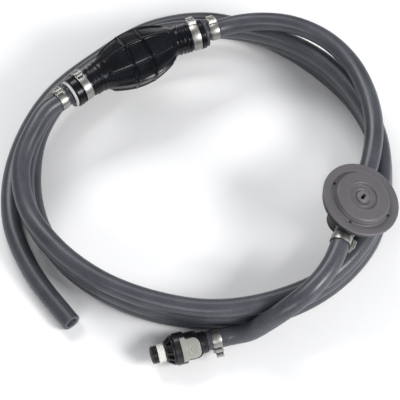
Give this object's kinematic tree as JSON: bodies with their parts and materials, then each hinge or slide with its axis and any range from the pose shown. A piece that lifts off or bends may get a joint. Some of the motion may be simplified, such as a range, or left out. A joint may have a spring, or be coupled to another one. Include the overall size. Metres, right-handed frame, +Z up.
{
  "type": "outboard fuel line",
  "caption": "Coiled rubber fuel hose with a squeeze primer bulb, round diaphragm demand valve, band clamps and a push-button quick coupler with a taped male thread.",
  "frame": {"origin": "centre of the footprint of everything but the three hoses, on the surface the coil lies on", "axes": "+Z up from the surface; +X to the right and +Y away from the viewer, as the coil is seen with the tank fitting in front"},
  "size_m": [0.3377, 0.356, 0.0898],
  "materials": {
    "hose": "satin extruded rubber",
    "bulb_rubber": "matte moulded rubber with raised ribs",
    "check_plastic": "moulded acetal",
    "poppet_plastic": "moulded acetal",
    "spring_wire": "drawn stainless wire",
    "clamp_steel": "bright stainless strip",
    "cover_plastic": "fine moulded grain",
    "button_plastic": "fine moulded grain",
    "diaphragm_rubber": "fabric-faced rubber sheet",
    "plate_metal": "stamped",
    "seal_rubber": "smooth",
    "black_plastic": "glass-filled moulded plastic",
    "release_plastic": "moulded plastic",
    "tape": "wound sealing tape, slightly frayed"
  },
  "bodies": {
    "line": {"engine_hose": "hose", "middle_hose": "hose", "tank_hose": "hose", "bulb_shell": "bulb_rubber", "inlet_check_body": "check_plastic", "inlet_check_spring": "spring_wire", "inlet_check_retainer": "poppet_plastic", "outlet_check_body": "check_plastic", "outlet_check_spring": "spring_wire", "outlet_check_seat": "poppet_plastic", "bulb_clamp_bands": "clamp_steel", "bulb_clamp_buckles": "clamp_steel", "hose_clamp_bands": "clamp_steel", "hose_clamp_buckles": "clamp_steel", "valve_cover": "cover_plastic", "diaphragm": "diaphragm_rubber", "valve_body": "black_plastic", "valve_bottom_plug": "black_plastic", "demand_spring": "spring_wire", "coupler_body": "black_plastic", "coupler_tail": "black_plastic", "coupler_spring": "spring_wire"},
    "inlet_poppet": {"inlet_check_poppet": "poppet_plastic"},
    "outlet_poppet": {"outlet_check_poppet": "poppet_plastic"},
    "demand_stem": {"override_button": "button_plastic", "diaphragm_plate": "plate_metal", "demand_poppet": "poppet_plastic", "demand_poppet_seal": "seal_rubber"},
    "front_button": {"release_button_front": "release_plastic"},
    "rear_button": {"release_button_rear": "release_plastic"},
    "coupler_plunger": {"coupler_poppet": "poppet_plastic", "coupler_poppet_seal": "seal_rubber"},
    "tank_side": {"tank_fitting": "black_plastic", "thread_tape": "tape", "fitting_oring": "seal_rubber"}
  },
  "joints": [
    {"name": "inlet_check_slide", "type": "slide", "parent": "line", "child": "inlet_poppet", "axis": [-0.9397, -0.342, 0], "range_m": [0, 0.002], "stiffness_N_per_m": 20, "deforming": ["inlet_check_spring"]},
    {"name": "outlet_check_slide", "type": "slide", "parent": "line", "child": "outlet_poppet", "axis": [-0.788, -0.6157, 0], "range_m": [0, 0.002], "stiffness_N_per_m": 20, "deforming": ["outlet_check_spring"]},
    {"name": "demand_slide", "type": "slide", "parent": "line", "child": "demand_stem", "axis": [-0.3037, 0.0058, -0.9527], "range_m": [0, 0.0018], "stiffness_N_per_m": 400, "springref_m": -0.001, "deforming": ["demand_spring"]},
    {"name": "front_button_press", "type": "slide", "parent": "line", "child": "front_button", "axis": [-0.1653, 0.6212, -0.766], "range_m": [0, 0.001], "stiffness_N_per_m": 900, "springref_m": -0.0003},
    {"name": "rear_button_press", "type": "slide", "parent": "line", "child": "rear_button", "axis": [0.1653, -0.6212, 0.766], "range_m": [0, 0.001], "stiffness_N_per_m": 900, "springref_m": -0.0003},
    {"name": "coupler_check_slide", "type": "slide", "parent": "line", "child": "coupler_plunger", "axis": [0.9636, 0.2672, 0.0087], "range_m": [0, 0.0015], "stiffness_N_per_m": 60, "deforming": ["coupler_spring"]},
    {"name": "fitting_pull_off", "type": "slide", "parent": "line", "child": "tank_side", "axis": [-0.9636, -0.2672, -0.0087], "range_m": [0, 0.022]}
  ],
  "couplings": [
    {"joint": "rear_button_press", "follows": "front_button_press", "ratio": 1}
  ]
}
